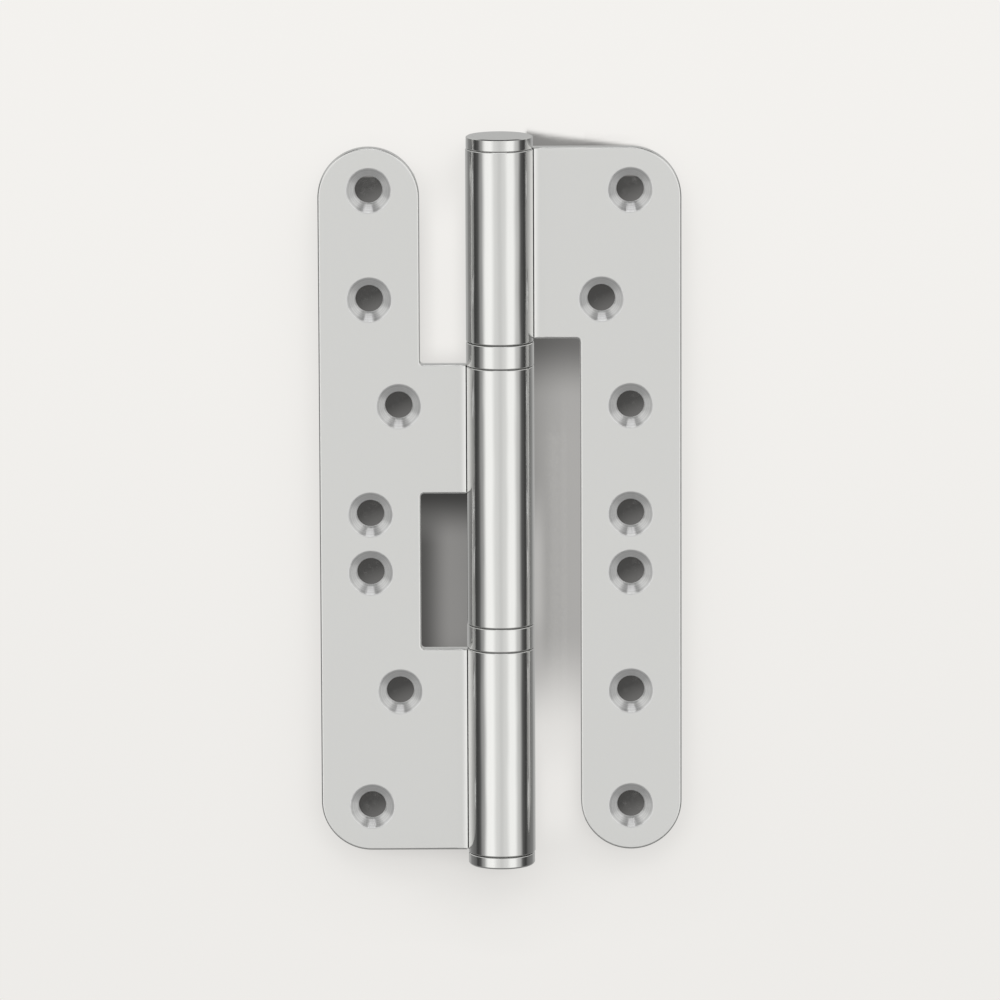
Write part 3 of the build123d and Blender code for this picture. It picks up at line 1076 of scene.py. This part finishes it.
@dataclass
class Studio:
    """Backdrop, floor, light and the camera at the photograph's angle."""

    holes: Sequence[tuple[float, float]]
    wall_distance: float = 9.7
    wall_half: float = 3000.0
    wall_step: float = 0.8
    floor_drop: float = 600.0
    pale: tuple[float, float, float] = (0.885, 0.870, 0.845)
    distance: float = 2485.0
    elevation: float = 10.2
    azimuth: float = 0.13
    roll: float = -0.227
    aim_height: float = 0.49
    aim_side: float = -0.16
    focal_pixels: float = 8865.5
    image_pixels: float = 1000.0
    openness: Sequence[tuple[float, float]] = (
        (0.0, 0.60), (0.35, 0.70), (0.45, 0.77), (0.50, 0.80), (0.56, 0.85), (0.62, 0.88), (0.68, 0.89),
        (0.74, 0.92), (0.80, 0.95), (0.86, 0.975), (0.92, 0.985), (1.0, 1.0),
    )
    gap_shades: Sequence[Shade] = (
        Shade((7, 8, 23.2, 23.6), (-70, -38, 46, 78), 0.49, (0.012, 0.0)),
        Shade((7, 8, 23.2, 23.6), (27, 44.5, 46, 66), 0.43),
        Shade((8, 9, 10, 13.5), (-55, -30, -18, 8), 1.5),
        Shade((8, 14, 17, 24), (-104, -90, -84, -66), 1.09),
    )
    ledge_shades: Sequence[Shade] = (
        Shade((-23.6, -23.2, -8, -7), (-47, -46, 3, 4), 0.34),
        Shade((-23.6, -23.2, -8, -7), (-13, 1, 3, 4), 0.24),
        Shade((-23.6, -23.2, -22.4, -14), (-47, -46, -15, -1), 0.38),
        Shade((-23, -16.5, -14, -8.5), (37, 44, 74, 93), 1.11),
        Shade((7, 8, 37, 43), (96.5, 97.5, 102.8, 104.6), 0.3, lean=-0.158),
    )
    hole_level: float = 0.125
    hole_floor: float = 0.0975
    hole_growth: tuple[float, float] = (0.012, -0.024)
    hole_drop: float = 1.25
    hole_reach: float = 5.6
    hole_columns: tuple[float, float, float, float] = (23.4, 24.2, 41.0, 44.0)
    hole_heights: tuple[float, float, float, float] = (-94.2, -93.2, 90.3, 92.0)
    lifted_heights: tuple[float, float, float, float] = (100.0, 104.0, 146.0, 150.0)
    in_gap: tuple[float, float] = (0.67, 0.79)
    near_hinge: tuple[float, float] = (0.88, 0.965)
    shut_in: tuple[float, float] = (0.44, 0.62)
    tent_level: float = 1.15
    level_bands: Sequence[tuple[float, float]] = (
        (-180, 0.45), (-150, 0.40), (-125, 0.20), (-104, 0.14), (-92, 0.05), (-82, 0.08), (-66, 0.33),
        (-47, 0.97), (-33, 1.0), (-14, 0.72), (0, 0.64), (14, 0.72), (32, 0.97), (44, 0.97),
        (62, 0.55), (80, 0.09), (92, 0.05), (104, 0.14), (125, 0.20), (150, 0.40), (180, 0.45),
    )
    upper_bands: Sequence[tuple[float, float]] = (
        (-180, 0.50), (-140, 0.55), (-110, 0.55), (-90, 0.67), (-60, 0.72), (-33, 1.0), (0, 0.64), (33, 0.97),
        (60, 0.75), (90, 0.62), (110, 0.50), (140, 0.55), (180, 0.50),
    )
    lower_level: float = 0.22

    def camera(self) -> None:
        """The camera: a long lens a little above the hinge, looking level-ish down."""
        up_angle, turn, roll = (math.radians(a) for a in (self.elevation, self.azimuth, self.roll))
        away = Vector(
            (-math.sin(turn) * math.cos(up_angle), -math.cos(turn) * math.cos(up_angle), math.sin(up_angle))
        )
        right = (-away).cross(Vector((0, 0, 1))).normalized()
        up = right.cross(-away)
        right_rolled = right * math.cos(roll) + up * math.sin(roll)
        up_rolled = up * math.cos(roll) - right * math.sin(roll)
        data = bpy.data.cameras.new("camera")
        data.sensor_width = 36.0
        data.lens = self.focal_pixels * data.sensor_width / self.image_pixels
        data.clip_end = 100.0
        camera = bpy.data.objects.new("camera", data)
        place = Vector((self.aim_side, 0, self.aim_height)) * MM + away * self.distance * MM
        rotation = Matrix((right_rolled, up_rolled, away)).transposed().to_4x4()
        camera.matrix_world = Matrix.Translation(place) @ rotation
        bpy.context.scene.collection.objects.link(camera)
        bpy.context.scene.camera = camera

    def backdrop_material(self) -> bpy.types.Material:
        """Pale wall that glows for the camera and darkens behind the hinge.

        Its light follows the openness towards the light above, times a slow
        rise with height and three shades that are stored in the mesh. That of
        the gap counts only between two parts, that of the ledges only near the
        hinge, and that of the screw holes only where the wall is shut in behind
        the strips, so they all go when the leaf goes.
        """
        material = bpy.data.materials.new("pale_backdrop")
        material.use_nodes = True
        wiring = Wiring(material.node_tree)
        lean = wiring.node("ShaderNodeCombineXYZ", {"Y": -0.64, "Z": 0.77}).outputs["Vector"]
        ambient = wiring.node("ShaderNodeAmbientOcclusion", {"Distance": 0.03, "Normal": lean}, samples=32)
        openness = ambient.outputs["AO"]
        place = wiring.node("ShaderNodeTexCoord").outputs["Object"]
        side, _, height = wiring.node("ShaderNodeSeparateXYZ", {"Vector": place}).outputs
        gap_shade, ledge_shade, hole_shade = (
            wiring.node("ShaderNodeAttribute", attribute_name=name).outputs["Fac"]
            for name in ("gap_shade", "ledge_shade", "hole_shade")
        )
        in_gap = wiring.fade(openness, *self.in_gap, 1.0, 0.0)
        near = wiring.fade(openness, *self.near_hinge, 1.0, 0.0)
        facing_out = wiring.node("ShaderNodeAmbientOcclusion", {"Distance": 0.03}, samples=16)
        in_hole = wiring.fade(facing_out.outputs["AO"], *self.shut_in, 1.0, 0.0)
        strip = wiring.window(wiring.maths("ABSOLUTE", side, 0.0), self.hole_columns)
        heights = (wiring.window(height, edges) for edges in (self.hole_heights, self.lifted_heights))
        in_hole = wiring.maths("MULTIPLY", in_hole, wiring.maths("MULTIPLY", strip, wiring.maths("ADD", *heights)))
        light = wiring.ramp(openness, self.openness, False)
        for factor in (
            wiring.fade(height, -0.14, 0.14, 0.965, 1.015),
            wiring.mixed(in_gap, 1.0, gap_shade),
            wiring.mixed(near, 1.0, ledge_shade),
            wiring.mixed(in_hole, 1.0, hole_shade),
        ):
            light = wiring.maths("MULTIPLY", light, factor)
        glow = wiring.node("ShaderNodeEmission", {"Color": (*self.pale, 1.0), "Strength": light})
        clear = wiring.node("ShaderNodeBsdfTransparent")
        facing = wiring.node("ShaderNodeNewGeometry")
        choose = wiring.node(
            "ShaderNodeMixShader", {0: facing.outputs["Backfacing"], 1: glow.outputs[0], 2: clear.outputs[0]}
        )
        wiring.node("ShaderNodeOutputMaterial", {"Surface": choose.outputs[0]})
        return material

    def shade(self, shades: Sequence[Shade], x: Array, z: Array) -> Array:
        """Share of the light that some shades leave on the wall: their product."""
        light = np.ones_like(x)
        for shade in shades:
            light = light * shade.left(x, z)
        return light

    def hole_shade(self, x: Array, z: Array) -> Array:
        """Share of the light that is left behind a screw hole. At the holes'
        places at rest it grows to the lower right from its level in the middle."""
        light = np.full_like(x, self.hole_level)
        for column, row in self.holes:
            aside, above = x - column, z - row + self.hole_drop
            grown = self.hole_level + self.hole_growth[0] * aside + self.hole_growth[1] * above
            here = np.hypot(aside, above) < self.hole_reach
            light = np.where(here, np.maximum(grown, self.hole_floor), light)
        return light

    def sheet(self, name: str, points: Array, faces: Array, material: bpy.types.Material) -> bpy.types.Object:
        """A stage surface from its points and four-cornered faces."""
        mesh = bpy.data.meshes.new(name)
        mesh.vertices.add(len(points))
        mesh.vertices.foreach_set("co", (points * MM).ravel())
        mesh.loops.add(faces.size)
        mesh.loops.foreach_set("vertex_index", faces.ravel())
        mesh.polygons.add(len(faces))
        mesh.polygons.foreach_set("loop_start", np.arange(0, faces.size, 4))
        mesh.update(calc_edges=True)
        mesh.materials.append(material)
        surface = bpy.data.objects.new(name, mesh)
        bpy.context.scene.collection.objects.link(surface)
        return surface

    def stage(self) -> None:
        """The wall behind the hinge, seen from its front only, and the floor."""
        far, low = self.wall_half, -self.floor_drop
        x = np.r_[-far, np.arange(-60, 60.1, self.wall_step), far]
        z = np.r_[low, -150, np.arange(-112, 120.1, self.wall_step), 150, far]
        wide, high = (grid.ravel() for grid in np.meshgrid(x, z))
        index = np.arange(len(wide)).reshape(len(z), len(x))
        corners = (index[:-1, :-1], index[:-1, 1:], index[1:, 1:], index[1:, :-1])
        faces = np.stack([corner.ravel() for corner in corners], axis=1)
        points = np.c_[wide, np.full(len(wide), self.wall_distance), high]
        wall = self.sheet("backdrop", points, faces, self.backdrop_material())
        for name, values in (
            ("gap_shade", self.shade(self.gap_shades, wide, high)),
            ("ledge_shade", self.shade(self.ledge_shades, wide, high)),
            ("hole_shade", self.hole_shade(wide, high)),
        ):
            wall.data.attributes.new(name, "FLOAT", "POINT").data.foreach_set("value", values)
        wall.visible_diffuse = False
        wall.visible_glossy = False
        wall.visible_shadow = False
        wall.visible_transmission = False
        floor_material = bpy.data.materials.new("pale_floor")
        floor_material.use_nodes = True
        shader = floor_material.node_tree.nodes["Principled BSDF"]
        shader.inputs["Base Color"].default_value = (*self.pale, 1.0)
        shader.inputs["Roughness"].default_value = 0.9
        floor = self.sheet(
            "floor",
            np.array([[-far, -far, low], [far, -far, low], [far, far, low], [-far, far, low]]),
            np.array([[0, 1, 2, 3]]),
            floor_material,
        )
        floor.visible_glossy = False

    def tent(self) -> None:
        """The light tent: a world whose brightness runs with the compass angle
        from the front, so that polished steel shows soft upright bands. Higher
        up its sides are bright too. It is dim below and dark round the lamp."""
        world = bpy.data.worlds.new("light tent")
        bpy.context.scene.world = world
        world.use_nodes = True
        wiring = Wiring(world.node_tree)
        place = wiring.node("ShaderNodeTexCoord").outputs["Generated"]
        side, back, up = wiring.node("ShaderNodeSeparateXYZ", {"Vector": place}).outputs
        compass = wiring.maths("ARCTAN2", side, wiring.maths("MULTIPLY", back, -1.0))
        turn = wiring.node("ShaderNodeMapRange", {"Value": compass, "From Min": -math.pi, "From Max": math.pi})
        levels = [
            wiring.ramp(turn.outputs["Result"], [((angle + 180) / 360, level) for angle, level in bands], True)
            for bands in (self.level_bands, self.upper_bands)
        ]
        light = wiring.mixed(wiring.fade(up, 0.12, 0.4, 0.0, 1.0), *levels)
        light = wiring.mixed(wiring.fade(up, -0.7, -0.38, 1.0, 0.0), light, self.lower_level)
        light = wiring.maths("MULTIPLY", light, wiring.fade(up, 0.68, 0.82, 1.0, 0.12))
        strength = wiring.maths("MULTIPLY", light, self.tent_level)
        tent = wiring.node("ShaderNodeBackground", {"Color": (1.0, 1.0, 0.985, 1.0), "Strength": strength})
        plain = wiring.node("ShaderNodeBackground", {"Color": (*self.pale, 1.0)})
        seen = wiring.node("ShaderNodeLightPath").outputs["Is Camera Ray"]
        choose = wiring.node("ShaderNodeMixShader", {0: seen, 1: tent.outputs[0], 2: plain.outputs[0]})
        wiring.node("ShaderNodeOutputWorld", {"Surface": choose.outputs[0]})

    def softbox(self, name: str, direction: Vector, reach: float, wide: float, deep: float, level: float) -> None:
        """A flat lamp of even brightness that faces the hinge.

        Its power is brightness times pi times its area.

        Args:
            name: Name of the lamp.
            direction: From the hinge to the lamp.
            reach: Distance in metres.
            wide: Width in metres.
            deep: Depth in metres.
            level: Brightness, where 1 shows as white.
        """
        data = bpy.data.lights.new(name, "AREA")
        data.shape = "RECTANGLE"
        data.size, data.size_y = wide, deep
        data.energy = level * math.pi * wide * deep
        lamp = bpy.data.objects.new(name, data)
        away = direction.normalized()
        lamp.location = away * reach
        lamp.rotation_euler = away.to_track_quat("Z", "Y").to_euler()
        lamp.visible_camera = False
        bpy.context.scene.collection.objects.link(lamp)

    def build(self) -> None:
        """Set the camera, the stage and the light."""
        self.camera()
        self.stage()
        self.tent()
        self.softbox("overhead", Vector((0, -0.17, 1)), 1.6, 0.8, 0.8, 1.6)
        scene = bpy.context.scene
        scene.view_settings.view_transform = "Standard"


def main() -> None:
    """Build the hinge's pieces and the studio, in order."""
    logging.basicConfig(level=logging.INFO, format="%(name)s: %(message)s")
    sizes = Sizes()
    outer, inner = 36.5, 28.4
    rows = (88.0, 57.2, 27.0, -3.8, -20.4, -54.4, -87.4)
    frame_columns = (outer, outer, inner, outer, outer, inner, outer)
    door_columns = (outer, inner, outer, outer, outer, outer, outer)
    frame_leaf(sizes, [ScrewHole(c, r) for c, r in zip(frame_columns, rows)]).build()
    door_leaf(sizes, [ScrewHole(c, r) for c, r in zip(door_columns, rows)]).build()
    places = [(-c, r) for c, r in zip(frame_columns, rows)] + list(zip(door_columns, rows))
    Barrel(sizes).build()
    ThrustBearing(sizes).build()
    Studio(places).build()


if __name__ == "__main__":
    main()
